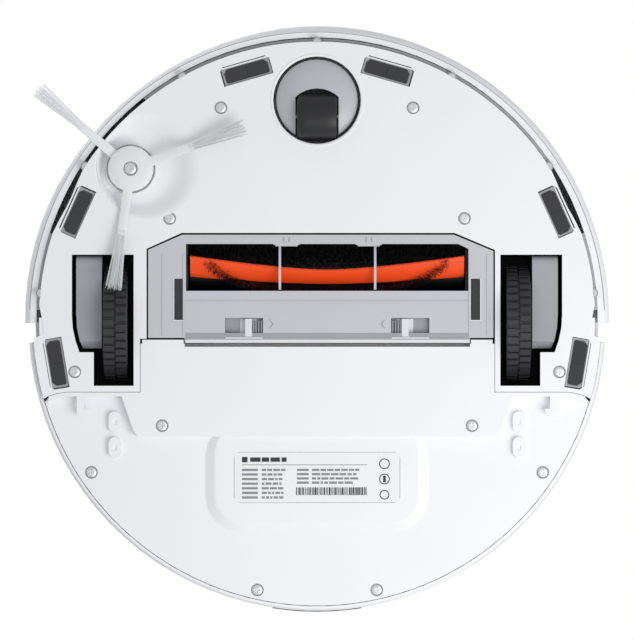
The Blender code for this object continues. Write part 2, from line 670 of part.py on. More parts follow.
def build():
    clear_scene()
    white = finish("white_abs", (0.82, 0.82, 0.83), 0.38)
    black = finish("black_abs", (0.012, 0.012, 0.013), 0.45)
    grey = finish("grey_abs", (0.52, 0.53, 0.54), 0.42)
    mid_grey = finish("gearbox_grey", (0.30, 0.30, 0.31), 0.40)
    rubber = finish("black_rubber", (0.015, 0.015, 0.016), 0.75)
    steel = finish("zinc_plated_steel", (0.75, 0.75, 0.76), 0.30, 1.0)
    smoked = finish("smoked_lens", (0.02, 0.02, 0.023), 0.12)
    build_front_base(white)
    build_rear_base(white)
    build_side_shell(white)
    build_top_cover(white)
    build_top_controls(smoked, white)
    build_bumper(white)
    build_caster(grey, steel, rubber)
    looks = {"well": black, "gear": mid_grey, "hub": black, "tyre": rubber, "steel": steel}
    for side in (-1, 1):
        build_drive_side(side, looks)
    build_side_brush(finish("milky_nylon", (0.80, 0.80, 0.80), 0.45), steel, black)
    build_main_brush(finish("orange_rubber", (0.86, 0.07, 0.02), 0.50), black)
    build_brush_chamber(black)
    build_brush_cover(grey, rubber, finish("latch_grey", (0.60, 0.61, 0.62), 0.40))
    build_inside({"dark": black, "white": white, "battery": finish("blue_wrap", (0.03, 0.09, 0.30), 0.35),
                  "board": finish("green_board", (0.02, 0.16, 0.06), 0.45)})
    build_bin(finish("smoked_bin", (0.10, 0.10, 0.11), 0.25), finish("filter_paper", (0.7, 0.7, 0.66), 0.9),
              finish("bin_grey", (0.45, 0.45, 0.46), 0.40))
    build_sensors(smoked)
    build_screws(steel)
    build_label(finish("label_film", (0.88, 0.88, 0.88), 0.30))


build()
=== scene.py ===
# %% [markdown]
# A round robot vacuum, seen from underneath. The machine's working parts come from the CAD frame,
# so this lesson is about its looks: rounded moulding edges, bristles, tread, screws and finishes.

# %% Load the frame
import json
import math
import random

import bmesh
import bpy
from mathutils import Matrix, Vector


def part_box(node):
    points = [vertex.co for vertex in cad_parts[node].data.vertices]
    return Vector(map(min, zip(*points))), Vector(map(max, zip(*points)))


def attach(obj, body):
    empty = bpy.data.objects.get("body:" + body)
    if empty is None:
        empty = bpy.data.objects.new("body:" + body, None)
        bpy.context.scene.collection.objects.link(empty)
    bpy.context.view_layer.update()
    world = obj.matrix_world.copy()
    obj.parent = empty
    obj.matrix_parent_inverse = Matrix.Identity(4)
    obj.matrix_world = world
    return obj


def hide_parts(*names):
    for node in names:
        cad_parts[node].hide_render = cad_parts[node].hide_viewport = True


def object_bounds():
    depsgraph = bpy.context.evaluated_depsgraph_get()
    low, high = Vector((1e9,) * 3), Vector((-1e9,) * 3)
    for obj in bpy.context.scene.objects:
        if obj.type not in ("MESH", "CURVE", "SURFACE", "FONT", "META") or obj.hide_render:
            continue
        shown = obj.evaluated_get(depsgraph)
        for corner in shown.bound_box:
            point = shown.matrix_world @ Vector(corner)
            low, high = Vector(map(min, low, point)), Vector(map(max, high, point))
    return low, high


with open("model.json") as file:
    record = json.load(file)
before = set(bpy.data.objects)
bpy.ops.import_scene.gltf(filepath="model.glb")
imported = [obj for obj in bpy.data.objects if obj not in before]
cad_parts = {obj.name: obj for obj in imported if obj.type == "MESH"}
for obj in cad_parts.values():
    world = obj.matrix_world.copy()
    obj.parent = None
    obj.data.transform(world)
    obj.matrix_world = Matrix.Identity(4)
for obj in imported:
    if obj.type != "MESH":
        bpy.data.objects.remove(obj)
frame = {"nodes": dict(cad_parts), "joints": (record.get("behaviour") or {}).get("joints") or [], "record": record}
cad_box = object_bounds()
MM = 0.001
low, high = (Vector(corner) for corner in cad_box)
print("the machine measures", [round(v / MM, 1) for v in high - low], "mm")

# %% [markdown]
# The camera looks straight up at the underside. A long lens from far away keeps the round outline
# round and hides the sides, as a catalogue picture does.

# %% Camera
VIEW_HEIGHT = 0.3816
CAMERA_DISTANCE = 3.0
camera_data = bpy.data.cameras.new("catalogue_camera")
camera_data.lens = camera_data.sensor_width * CAMERA_DISTANCE / VIEW_HEIGHT
camera_data.clip_end = 20
camera = bpy.data.objects.new("catalogue_camera", camera_data)
camera.location = (0, 0.0002, -CAMERA_DISTANCE)
camera.rotation_euler = (math.pi, 0, 0)
bpy.context.scene.collection.objects.link(camera)
bpy.context.scene.camera = camera
print("lens", round(camera_data.lens), "mm")

# %% [markdown]
# Materials start from one helper that adds a node with its settings and links, and one function
# that turns a paint colour written in hex into the linear numbers that Blender mixes with.

# %% Material helpers


def hexa(code):
    """An sRGB hex colour as linear RGBA."""
    values = [int(code[i:i + 2], 16) / 255 for i in (0, 2, 4)]
    return (*[v / 12.92 if v <= 0.04045 else ((v + 0.055) / 1.055) ** 2.4 for v in values], 1.0)


def add(tree, kind, settings=None, **links):
    """Adds a node; settings are attributes or sockets by name, links are sockets fed by others."""
    made = tree.nodes.new(kind)
    for key, value in (settings or {}).items():
        if hasattr(made, key):
            setattr(made, key, value)
        else:
            made.inputs[key].default_value = value
    for key, source in links.items():
        tree.links.new(source, made.inputs[key.replace("_", " ")])
    return made


def new_material(name, **shader):
    """A material with a Principled shader and its settings; gives the material, tree and shader."""
    made = bpy.data.materials.new(name)
    made.use_nodes = True
    tree = made.node_tree
    surface = tree.nodes["Principled BSDF"]
    for key, value in shader.items():
        surface.inputs[key.replace("_", " ")].default_value = value
    return made, tree, surface


def place(tree, scale=1.0):
    """Object coordinates in millimetres over scale, so one pattern unit is scale mm long."""
    spot = add(tree, "ShaderNodeTexCoord")
    factor = 1 / (MM * scale)
    sized = add(tree, "ShaderNodeVectorMath", {"operation": "SCALE"}, Vector=spot.outputs["Object"])
    sized.inputs["Scale"].default_value = factor
    return sized.outputs["Vector"]


def moulded(name, light, dark, roughness, grain_mm=0.7, bump=0.06, mottle_mm=60, ior=1.53):
    """Moulded plastic: two close shades drifting slowly, and the fine grain of the mould."""
    made, tree, surface = new_material(name, IOR=ior)
    drift = add(tree, "ShaderNodeTexNoise", {"Scale": 1.0, "Detail": 2.0}, Vector=place(tree, mottle_mm))
    shade = add(tree, "ShaderNodeMix", {"data_type": "RGBA"}, Factor=drift.outputs["Fac"])
    shade.inputs[6].default_value = hexa(light)
    shade.inputs[7].default_value = hexa(dark)
    tree.links.new(shade.outputs[2], surface.inputs["Base Color"])
    grain = add(tree, "ShaderNodeTexNoise", {"Scale": 1.0, "Detail": 3.0}, Vector=place(tree, grain_mm))
    gloss = add(tree, "ShaderNodeMapRange", {"To Min": roughness - 0.04, "To Max": roughness + 0.06},
                Value=grain.outputs["Fac"])
    tree.links.new(gloss.outputs["Result"], surface.inputs["Roughness"])
    relief = add(tree, "ShaderNodeBump", {"Strength": bump, "Distance": 0.1 * MM},
                 Height=grain.outputs["Fac"])
    tree.links.new(relief.outputs["Normal"], surface.inputs["Normal"])
    return made


# %% [markdown]
# The outer mouldings are white ABS with a satin, spark-eroded surface. Satin ABS reflects softly,
# so its roughness is near 0.4. The real grain is about 0.05 mm, too fine to see, so it is drawn at 0.7 mm.

# %% Moulded plastics
# Besides their parts' own colours, gear_abs is also used as painted shade and latch_abs as painted highlight on
# small strips.
white_abs = moulded("white_satin_abs", "F6F6F8", "F1F1F4", 0.40)
grey_abs = moulded("light_grey_abs", "CBCCD0", "C3C4C9", 0.36, bump=0.04)
gear_abs = moulded("gearbox_grey_abs", "A9AAAF", "9D9EA3", 0.34, bump=0.04, mottle_mm=25)
caster_abs = moulded("caster_grey_abs", "C4C5C9", "B8B9BE", 0.33, bump=0.03, mottle_mm=25)
black_abs = moulded("black_abs", "131314", "1A1A1C", 0.45, bump=0.08)
bin_abs = moulded("smoked_bin_abs", "2C2C2F", "333337", 0.22, bump=0.02)
latch_abs = moulded("latch_grey_abs", "E6E7EA", "DEDFE3", 0.35, bump=0.04, mottle_mm=8)
nylon = moulded("milky_nylon", "F3F3F4", "E6E7E9", 0.40, grain_mm=0.5, mottle_mm=12)
nylon.node_tree.nodes["Principled BSDF"].inputs["Subsurface Weight"].default_value = 0.15
nylon.node_tree.nodes["Principled BSDF"].inputs["Subsurface Radius"].default_value = (0.002, 0.002, 0.002)
bristle_black = moulded("black_nylon_bristle", "0B0B0C", "161617", 0.42, grain_mm=0.4)
orange_rubber = moulded("orange_silicone", "FF5620", "FA4C14", 0.42, grain_mm=0.9, bump=0.10, mottle_mm=18,
                        ior=1.43)
battery_wrap = moulded("blue_shrink_wrap", "1D4E9E", "1A4690", 0.25, mottle_mm=30)
board_green = moulded("green_solder_mask", "1F5A35", "1B4E2E", 0.35, mottle_mm=9)
label_film = moulded("label_film", "F4F4F5", "F0F0F1", 0.28, bump=0.01)
label_ink = moulded("label_ink", "8E8F93", "85868A", 0.35, bump=0.01, mottle_mm=5)
label_dark = moulded("label_dark_ink", "2A2A2D", "343438", 0.35, bump=0.01, mottle_mm=5)
print(len(bpy.data.materials), "materials mixed so far")

# %% [markdown]
# Tyre rubber is filled with soot, so it is nearly black and scatters what little light it returns.
# Zinc-plated steel is a metal: its colour is its reflection, and plating leaves it slightly brushed.

# %% Rubber, steel, lens and filter paper
tyre_rubber = moulded("tyre_rubber", "242427", "303035", 0.58, grain_mm=0.8, bump=0.18, mottle_mm=9,
                      ior=1.52)


def plated_steel():
    """Steel whose zinc coat drifts a little in tint and polish."""
    made, tree, surface = new_material("zinc_plated_steel", Metallic=1.0)
    stains = add(tree, "ShaderNodeTexNoise", {"Scale": 1.0, "Detail": 4.0}, Vector=place(tree, 1.6))
    tint = add(tree, "ShaderNodeMix", {"data_type": "RGBA"}, Factor=stains.outputs["Fac"])
    tint.inputs[6].default_value = hexa("F4F4F6")
    tint.inputs[7].default_value = hexa("E6E7EA")
    tree.links.new(tint.outputs[2], surface.inputs["Base Color"])
    polish = add(tree, "ShaderNodeMapRange", {"To Min": 0.38, "To Max": 0.52}, Value=stains.outputs["Fac"])
    tree.links.new(polish.outputs["Result"], surface.inputs["Roughness"])
    return made


steel = plated_steel()
lens_plastic = moulded("smoked_polycarbonate", "2B2B2E", "333338", 0.16, bump=0.02, mottle_mm=14, ior=1.58)
filter_paper = moulded("filter_paper", "E4E2D8", "D5D2C4", 0.85, grain_mm=0.5, bump=0.4, mottle_mm=5)
slots = {"white_abs": white_abs, "black_abs": black_abs, "grey_abs": grey_abs, "gearbox_grey": gear_abs,
         "black_rubber": tyre_rubber, "zinc_plated_steel": steel, "smoked_lens": lens_plastic,
         "milky_nylon": nylon, "orange_rubber": orange_rubber, "battery_wrap": battery_wrap,
         "green_board": board_green, "smoked_bin": bin_abs, "filter_paper": filter_paper,
         "label_film": label_film}
for entry in frame["record"]["subparts"]:
    node = frame["nodes"][entry["node"]]
    node.data.materials.clear()
    node.data.materials.append(slots[entry["material_slot"]])
frame["nodes"]["caster_housing"].data.materials[0] = caster_abs
for name in ("latch_left", "latch_right"):
    frame["nodes"][name].data.materials[0] = latch_abs
print(len(slots), "finishes on", len(frame["nodes"]), "frame parts")

# %% [markdown]
# Every moulded edge on the real machine has a small radius, because a mould can't be perfectly sharp
# and a sharp edge would hurt. Each node is welded and its flat triangles are joined. A Bevel then
# rounds its edges, and weighted normals keep the broad faces looking flat.

# %% Moulding helpers


def piece(name, bm, body, material, smooth=40):
    """A finished piece in metres that rides on a body."""
    mesh = bpy.data.meshes.new(name)
    bm.to_mesh(mesh)
    bm.free()
    mesh.shade_smooth()
    mesh.set_sharp_from_angle(angle=math.radians(smooth))
    mesh.materials.append(material)
    made = bpy.data.objects.new(name, mesh)
    bpy.context.scene.collection.objects.link(made)
    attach(made, body)
    return made


def body_of(node):
    """The body that a frame part moves with."""
    return next(b for b, nodes in frame["record"]["behaviour"]["bodies"].items() if node in nodes)


def skin(bm, rings, caps=True):
    """Joins rings of corners into a tube with two flat caps, or into a closed loop without them."""
    count = len(rings[0])
    for here, there in zip(rings, rings[1:] if caps else rings[1:] + rings[:1]):
        for k in range(count):
            after = (k + 1) % count
            bm.faces.new((here[k], here[after], there[after], there[k]))
    if caps:
        bm.faces.new(rings[0])
        bm.faces.new(rings[-1])


def add_box(bm, size, matrix, taper=1.0):
    """A box of a given size, narrower at its top by taper, placed by a matrix."""
    corners = []
    for z in (-0.5, 0.5):
        k = taper if z > 0 else 1.0
        corners += [bm.verts.new(matrix @ Vector((x * size[0] * k, y * size[1] * k, z * size[2])))
                    for x, y in ((-0.5, -0.5), (0.5, -0.5), (0.5, 0.5), (-0.5, 0.5))]
    for loop in ((3, 2, 1, 0), (4, 5, 6, 7), (0, 1, 5, 4), (1, 2, 6, 5), (2, 3, 7, 6), (3, 0, 4, 7)):
        bm.faces.new([corners[i] for i in loop])


def welded(node):
    """The node's mesh with its split corners welded."""
    bm = bmesh.new()
    bm.from_mesh(frame["nodes"][node].data)
    bmesh.ops.remove_doubles(bm, verts=bm.verts, dist=0.005 * MM)
    return bm


def round_edges(node, width_mm, shape=None):
    """Replaces a node with a copy whose edges are rounded, after an optional cut into its shape."""
    bm = welded(node)
    if shape:
        bm = shape(bm)
    bmesh.ops.dissolve_limit(bm, angle_limit=math.radians(1), verts=bm.verts, edges=bm.edges)
    made = piece(f"{node}_moulding", bm, body_of(node), frame["nodes"][node].data.materials[0])
    edge = made.modifiers.new("moulded_radius", "BEVEL")
    edge.width = width_mm * MM
    edge.segments = 2
    edge.limit_method = "ANGLE"
    edge.angle_limit = math.radians(38)
    flat = made.modifiers.new("flat_faces_stay_flat", "WEIGHTED_NORMAL")
    flat.keep_sharp = True
    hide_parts(node)


def cut(bm, cutter):
    """The shape left when a cutter is taken out of a mesh, by an exact Boolean."""
    pair = []
    for name, part in (("work", bm), ("cutter", cutter)):
        mesh = bpy.data.meshes.new(name)
        part.to_mesh(mesh)
        part.free()
        pair.append(bpy.data.objects.new(name, mesh))
        bpy.context.scene.collection.objects.link(pair[-1])
    step = pair[0].modifiers.new("cut", "BOOLEAN")
    step.object = pair[1]
    bpy.context.view_layer.update()
    left = bmesh.new()
    left.from_object(pair[0], bpy.context.evaluated_depsgraph_get())
    for item in pair:
        bpy.data.objects.remove(item)
    return left


# %% [markdown]
# The side brush turns in a shallow dish that is longer towards the middle of the machine, so the
# strands can't catch and dirt slides off. The base is cut open along the dish's outline, and the
# dish is set in as a bowl whose rim is level with the base, with a low collar round the hub. The
# finger gap behind the brush cover's lip is cut by the same kind of Boolean.

# %% Side-brush dish
HUB = Vector((*next(j for j in frame["joints"] if j["name"] == "side_brush_spin")["pos_m"][:2], 0))
BASE_Z = 10.0 * MM
DISH_DEPTH = 6.2 * MM
DISH_WALL = 1.2 * MM
COLLAR_R = 15.6 * MM
EDGE_LIMIT = 165.7 * MM
AROUND_DISH = [2 * math.pi * i / 96 for i in range(96)]


def from_hub(distance, angle, z=0.0):
    """A point at a distance and an angle from the side brush's axis."""
    return HUB + Vector((distance * math.cos(angle), distance * math.sin(angle), z))


def dish_reach(angle):
    """How far the dish runs from the hub: furthest towards the middle of the machine."""
    reach = (30.5 + 10.5 * math.cos(angle + math.radians(10))) * MM
    while from_hub(reach, angle).length > EDGE_LIMIT:
        reach -= 0.2 * MM
    return reach


def dish_point(angle, share, raised=0.0):
    """A point on the bowl; share runs from 0 at the collar to 1 at the rim."""
    reach = COLLAR_R + (dish_reach(angle) - COLLAR_R) * share
    rise = max(0.0, (share - 0.3) / 0.7)
    z = BASE_Z + DISH_DEPTH * (1 - rise * rise * (3 - 2 * rise)) + raised
    return from_hub(reach, angle, z)


def open_dish(bm):
    """Cuts the base open along the dish's outline, from well below it to well above."""
    cutter = bmesh.new()
    below, above = [[cutter.verts.new(from_hub(dish_reach(a), a, z)) for a in AROUND_DISH]
                    for z in (4 * MM, 24 * MM)]
    cutter.faces.new(list(reversed(below)))
    cutter.faces.new(above)
    for i in range(len(AROUND_DISH)):
        j = (i + 1) % len(AROUND_DISH)
        cutter.faces.new((below[i], below[j], above[j], above[i]))
    return cut(bm, cutter)


def build_dish():
    """The bowl as one closed wall: shaft hole and collar, then down the inside and up the outside."""
    bm = bmesh.new()
    floor_z = BASE_Z + DISH_DEPTH
    collar_z = floor_z - 2.6 * MM
    levels = [[from_hub(r, a, z) for a in AROUND_DISH]
              for r, z in ((6.4 * MM, floor_z + DISH_WALL), (6.4 * MM, floor_z), (14.4 * MM, floor_z),
                           (14.6 * MM, collar_z), (15.5 * MM, collar_z))]
    levels += [[dish_point(a, i / 16) for a in AROUND_DISH] for i in range(17)]
    levels += [[dish_point(a, share, DISH_WALL) for a in AROUND_DISH] for share in (1, 0.66, 0.33, 0)]
    skin(bm, [[bm.verts.new(p) for p in level] for level in levels], caps=False)
    bmesh.ops.recalc_face_normals(bm, faces=bm.faces)
    made = piece("side_brush_dish", bm, "chassis", white_abs, 50)
    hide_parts("front_base")


def open_lip_gap(bm):
    """Leaves the finger gap behind the brush cover's lip."""
    cutter = bmesh.new()
    gap_centre = Matrix.Translation(Vector((6.15, 14.2, 13.0)) * MM)
    add_box(cutter, (170.7 * MM, 4.0 * MM, 9.0 * MM), gap_centre)
    return cut(bm, cutter)


round_edges("front_base", 0.45, open_dish)
round_edges("rear_base", 0.5, open_lip_gap)
build_dish()
print("dish set into the base,", round(DISH_DEPTH / MM, 1), "mm deep")

# %% [markdown]
# The remaining mouldings need no cutting, only their radii. Small parts such as latches have tight
# edges, and the drive arms have broad ones, which slide over a rug's edge instead of catching on it.

# %% Rounded mouldings
RADII = {"side_shell": 0.4, "bumper": 0.35, "brush_cover": 0.35,
         "drive_arm_left": 1.0, "drive_arm_right": 1.0, "caster_housing": 0.4, "latch_left": 0.3,
         "latch_right": 0.3, "wheel_well_left": 0.3, "wheel_well_right": 0.3, "dust_bin": 0.5,
         "cover_pad_left": 0.3, "cover_pad_right": 0.3, "bin_latch": 0.5, "top_cover": 0.3}
for name, width in RADII.items():
    round_edges(name, width)
print(len(RADII) + 2, "mouldings rounded")

# %% [markdown]
# Each drive tyre is moulded rubber with two columns of short blocks, set half a step apart, so one
# block is always on the floor. The blocks are separate little boxes sunk into a plain carcass,
# placed in a loop round the wheel, and the rim inside is black plastic.

# %% Drive tyres
BLOCKS_AROUND = 42
BLOCK_HEIGHT = 1.7 * MM
BLOCK_SUNK = 0.45 * MM
TYRE_BORE_R = 0.0274
SHOULDER = 1.0 * MM


def lathe_x(profile, centre, count=96):
    """A closed profile of (radius, x) turned about a line along X through centre."""
    bm = bmesh.new()
    rings = []
    for i in range(count):
        a = 2 * math.pi * i / count
        rings.append([bm.verts.new(centre + Vector((x, r * math.cos(a), r * math.sin(a))))
                      for r, x in profile])
    skin(bm, rings, caps=False)
    bmesh.ops.recalc_face_normals(bm, faces=bm.faces)
    return bm


def lathe_z(profile, centre, count=96):
    """A closed profile of (radius, height) turned about an upright line through centre."""
    bm = lathe_x(profile, Vector((0, 0, 0)), count)
    bm.transform(Matrix.Translation(centre) @ Matrix.Rotation(math.radians(-90), 4, "Y"))
    return bm


def build_tyre(side):
    lowest, highest = (Vector(v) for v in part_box(f"tyre_{side}"))
    centre = (lowest + highest) / 2
    radius, half = (highest.z - lowest.z) / 2, (highest.x - lowest.x) / 2
    base = radius - BLOCK_HEIGHT
    carcass = [(TYRE_BORE_R, -half), (base - SHOULDER, -half), (base, -half + SHOULDER),
               (base, half - SHOULDER), (base - SHOULDER, half), (TYRE_BORE_R, half)]
    bm = lathe_x(carcass, centre)
    pitch = 2 * math.pi * radius / BLOCKS_AROUND
    for row in (-1, 1):
        for i in range(BLOCKS_AROUND):
            a = 2 * math.pi * (i + (0.5 if row > 0 else 0)) / BLOCKS_AROUND
            lift = Matrix.Translation((row * half * 0.5, 0, radius - BLOCK_HEIGHT / 2 - BLOCK_SUNK))
            where = Matrix.Translation(centre) @ Matrix.Rotation(-a, 4, "X") @ lift
            add_box(bm, (half * 0.93, pitch * 0.68, BLOCK_HEIGHT), where, 0.9)
    tyre = piece(f"tyre_tread_{side}", bm, f"wheel_{side}", tyre_rubber)
    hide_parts(f"tyre_{side}")


for side in ("left", "right"):
    build_tyre(side)
print(BLOCKS_AROUND, "blocks in each column of tread")

# %% [markdown]
# The roller is a black core with two broad blades of orange silicone, and on each half turn one
# slanting row and five close rows of black nylon bristles. The rows sweep in a shallow V, so dust
# goes to the middle, where the suction duct is. Every bristle is a thin tapered strand; thousands
# of them make the ragged edge that a solid vane can't.

# %% Roller brush
random.seed(7)
roller_low, roller_high = (Vector(v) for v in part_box("main_brush"))
CORE_LEFT, CORE_RIGHT = -0.0759, 0.0881
SPINDLE_LEFT, SPINDLE_RIGHT = -0.0832, 0.0972
ROLLER = (roller_low + roller_high) / 2
ROLLER.x = (CORE_LEFT + CORE_RIGHT) / 2
ROLLER_HALF = 0.082
ROLLER_R = (roller_high.z - roller_low.z) / 2
CORE_R = 0.0124
BLADE_R = ROLLER_R - 0.0014
BLADE_LEAN = math.radians(64)
BLADE_SWEEP = 27
BRISTLE_R = 0.00024
TUFTS = 84
# Each row: degrees at the duct, sweep at the ends, power of the sweep, half length, strands, splay.
ROWS = [(-60, 102, 3.0, 0.0715, 22, 0.17), (4, 26, 1.5, 0.0788, 12, 0.12), (16, 25, 1.5, 0.0788, 12, 0.14),
        (29, 23, 1.5, 0.0788, 12, 0.14), (43, 22, 1.5, 0.0788, 12, 0.16), (58, 20, 1.5, 0.0788, 10, 0.16)]


def around_roller(x, angle, radius):
    """A point on the roller; angle 0 faces the floor and grows towards the front."""
    return Vector((x, ROLLER.y - radius * math.sin(angle), ROLLER.z - radius * math.cos(angle)))


def row_angle(x, middle, sweep, power=1.5):
    """Where a row lies round the roller: its angle in degrees at the duct, swept at the ends."""
    return math.radians(middle + sweep * (abs(x - ROLLER.x) / ROLLER_HALF) ** power)


def build_roller_core():
    """The plain cylinder that the blades and bristles stand in."""
    bm = bmesh.new()
    rings = []
    for i in range(-40, 41):
        x = ROLLER.x + ROLLER_HALF * i / 40
        rings.append([bm.verts.new(around_roller(x, 2 * math.pi * k / 72, CORE_R)) for k in range(72)])
    skin(bm, rings)
    bmesh.ops.recalc_face_normals(bm, faces=bm.faces)
    return piece("roller_core", bm, "main_brush", bristle_black, 60)


def add_blade(bm, turn):
    """One broad soft blade that leans forwards, its tip dipping back in the middle."""
    rings = []
    for i in range(-60, 61):
        x = ROLLER.x + ROLLER_HALF * i / 60
        tip = row_angle(x, turn - 4, BLADE_SWEEP)
        edge = BLADE_R - 0.0004 * (i % 2)
        section = [(tip - BLADE_LEAN - 0.05, CORE_R - 0.002), (tip - BLADE_LEAN + 0.16, CORE_R - 0.001),
                   (tip - BLADE_LEAN * 0.45, BLADE_R - 0.0050), (tip, edge - 0.0006),
                   (tip - 0.05, edge), (tip - BLADE_LEAN * 0.55, BLADE_R - 0.0036)]
        rings.append([bm.verts.new(around_roller(x, angle, radius)) for angle, radius in section])
    skin(bm, rings)


def add_bristle(bm, root, tip, width):
    """A three-sided strand from root to tip."""
    along = (tip - root).normalized()
    side = along.orthogonal().normalized() * width
    turns = [Matrix.Rotation(2 * math.pi * k / 3, 4, along) for k in range(3)]
    foot = [bm.verts.new(root + turn @ side) for turn in turns]
    end = [bm.verts.new(tip + turn @ side * 0.5) for turn in turns]
    skin(bm, [foot, end])


def build_roller():
    """Core, blades, bristles and the two spindle ends."""
    core = build_roller_core()
    blades, bristles = bmesh.new(), bmesh.new()
    count = 0
    for turn in (0, 180):
        add_blade(blades, turn)
        for middle, sweep, power, half, strands, splay in ROWS:
            for i in range(TUFTS):
                x0 = ROLLER.x + half * (2 * i / (TUFTS - 1) - 1)
                for _ in range(strands):
                    x = x0 + random.uniform(-0.0008, 0.0008)
                    a = row_angle(x0, turn + middle, sweep, power) + random.uniform(-0.05, 0.05)
                    reach = ROLLER_R - random.uniform(0.0002, 0.0022)
                    tip_x = x + random.uniform(-0.002, 0.002)
                    tip = around_roller(tip_x, a + random.uniform(-splay, splay), reach)
                    add_bristle(bristles, around_roller(x, a, CORE_R - 0.001), tip, BRISTLE_R)
                    count += 1
    for bm in (blades, bristles):
        bmesh.ops.recalc_face_normals(bm, faces=bm.faces)
    blade_piece = piece("roller_blades", blades, "main_brush", orange_rubber, 60)
    bristle_piece = piece("roller_bristles", bristles, "main_brush", bristle_black, 80)
    for made in (core, blade_piece, bristle_piece):
        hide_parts("main_brush")
    for side, x0, x1 in (("left", SPINDLE_LEFT, ROLLER.x - ROLLER_HALF),
                         ("right", ROLLER.x + ROLLER_HALF, SPINDLE_RIGHT)):
        profile = [(0.0001, x0), (0.0036, x0), (0.0040, x0 + 0.0004), (0.0040, x1), (0.0001, x1)]
        spindle = lathe_x(profile, Vector((0, ROLLER.y, ROLLER.z)), 32)
        made = piece(f"roller_spindle_{side}", spindle, "main_brush", black_abs)
        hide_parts("main_brush")
    print(count, "bristles on the roller")


build_roller()

# %% [markdown]
# The side brush has three stiff arms that end in fans of long milky bristles. The arms droop to the
# floor. The hub is a turned cap, the arms are thin tapered bars, and the strands fan out in a loop.

# %% Side brush
ARM_HEADINGS = (-139.3, -19.9, 97.8)
ARM_START, ARM_END, BRISTLE_END = 0.010, 0.040, 0.0735
ARM_THICK = 0.0017
ARM_STEPS = 14
ARM_DROOP, DROOP_START, HUB_UNDERSIDE = 0.142, 0.015, 0.0089
STRANDS_PER_ARM = 110


def arm_height(distance):
    """Underside of an arm: level with the hub, then falling to the floor."""
    return HUB_UNDERSIDE - ARM_DROOP * max(0.0, distance - DROOP_START)


def arm_point(heading, distance, across, height):
    """A point along an arm, some way across it."""
    c, s = math.cos(heading), math.sin(heading)
    return HUB + Vector((distance * c - across * s, distance * s + across * c, height))


def build_side_brush():
    """Three drooping arms with fans of bristles, and the hub that carries them."""
    arms, strands = bmesh.new(), bmesh.new()
    for degrees in ARM_HEADINGS:
        heading = math.radians(degrees)
        rings = []
        for i in range(ARM_STEPS + 1):
            d = ARM_START + (ARM_END - ARM_START) * i / ARM_STEPS
            half = 0.0029 - 0.0003 * i / ARM_STEPS
            low_z = arm_height(max(d, 0.0155))
            shape = [(-half, 0.2), (-half * 0.7, 0), (half * 0.7, 0), (half, 0.2), (half, 0.8),
                     (half * 0.7, 1), (-half * 0.7, 1), (-half, 0.8)]
            rings.append([arms.verts.new(arm_point(heading, d, w, low_z + ARM_THICK * h)) for w, h in shape])
        skin(arms, rings)
        for _ in range(STRANDS_PER_ARM):
            spread = random.uniform(-1, 1)
            reach = BRISTLE_END - random.uniform(0, 0.004)
            root_z = arm_height(ARM_END) + random.uniform(0.0003, 0.0014)
            root = arm_point(heading, ARM_END - 0.003, spread * 0.0022, root_z)
            tip = arm_point(heading, reach, spread * 0.0047 + random.uniform(-0.0006, 0.0006),
                            arm_height(reach) + random.uniform(0.0002, 0.0014))
            add_bristle(strands, root, tip, 0.00019)
    for bm in (arms, strands):
        bmesh.ops.recalc_face_normals(bm, faces=bm.faces)
    arm_piece = piece("side_brush_arms", arms, "side_brush", nylon, 50)
    strand_piece = piece("side_brush_bristles", strands, "side_brush", nylon, 80)
    profile = [(0.0044, 0.0068), (0.0125, 0.0068), (0.0134, 0.0075), (0.0136, 0.0086), (0.0136, 0.0118),
               (0.0052, 0.0122), (0.0050, 0.0192), (0.0018, 0.0192), (0.0018, 0.0096), (0.0042, 0.0094)]
    hub_piece = piece("side_brush_hub", lathe_z(profile, HUB, 72), "side_brush", nylon)
    for made in (arm_piece, strand_piece, hub_piece):
        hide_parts("side_brush")


build_side_brush()
print("side brush hub at", [round(v / MM, 1) for v in HUB])

# %% [markdown]
# The base is held by cross-head screws. A screw's head is a low dome, turned here like the real one,
# with a cross-shaped recess cut by a Boolean, because the recess is what catches the light.

# %% Screws
BASE_SCREWS = sorted(n for n in frame["nodes"] if n.startswith("base_screw"))
HEAD_R = 3.15 * MM
HUB_HEAD_R = 3.5 * MM


def underside(box):
    """The middle of a box's lowest face."""
    lowest, highest = (Vector(v) for v in box)
    middle = (lowest + highest) / 2
    return Vector((middle.x, middle.y, lowest.z))


def screw_head(node, centre, radius, body):
    """A domed head with a cross recess, open to the floor."""
    name = f"{node}_head"
    profile = [(0.0001, 0.0), (radius * 0.6, 0.03 * MM), (radius * 0.88, 0.2 * MM), (radius, 0.6 * MM),
               (radius, 1.1 * MM), (0.0001, 1.1 * MM)]
    head = piece(name, lathe_z(profile, centre, 48), body, steel)
    cutter = bmesh.new()
    recess = Matrix.Translation(centre + Vector((0, 0, 0.15 * MM)))
    for degrees in (0, 90):
        spin = Matrix.Rotation(math.radians(degrees), 4, "Z")
        add_box(cutter, (radius * 1.3, radius * 0.36, 1.5 * MM), recess @ spin, 0.8)
    mesh = bpy.data.meshes.new(f"{name}_cross")
    cutter.to_mesh(mesh)
    cutter.free()
    tool = bpy.data.objects.new(f"{name}_cross", mesh)
    bpy.context.scene.collection.objects.link(tool)
    step = head.modifiers.new("cross", "BOOLEAN")
    step.object = tool
    step.use_self = True
    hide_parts(node)
    bpy.context.view_layer.update()
    evaluated = head.evaluated_get(bpy.context.evaluated_depsgraph_get())
    carved = bpy.data.meshes.new_from_object(evaluated)
    head.modifiers.clear()
    head.data = carved
    bpy.data.objects.remove(tool)


for node in BASE_SCREWS:
    screw_head(node, underside(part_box(node)), HEAD_R, "chassis")
screw_head("side_brush_screw", underside(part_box("side_brush_screw")), HUB_HEAD_R, "side_brush")
print(len(BASE_SCREWS) + 1, "screw heads cut")
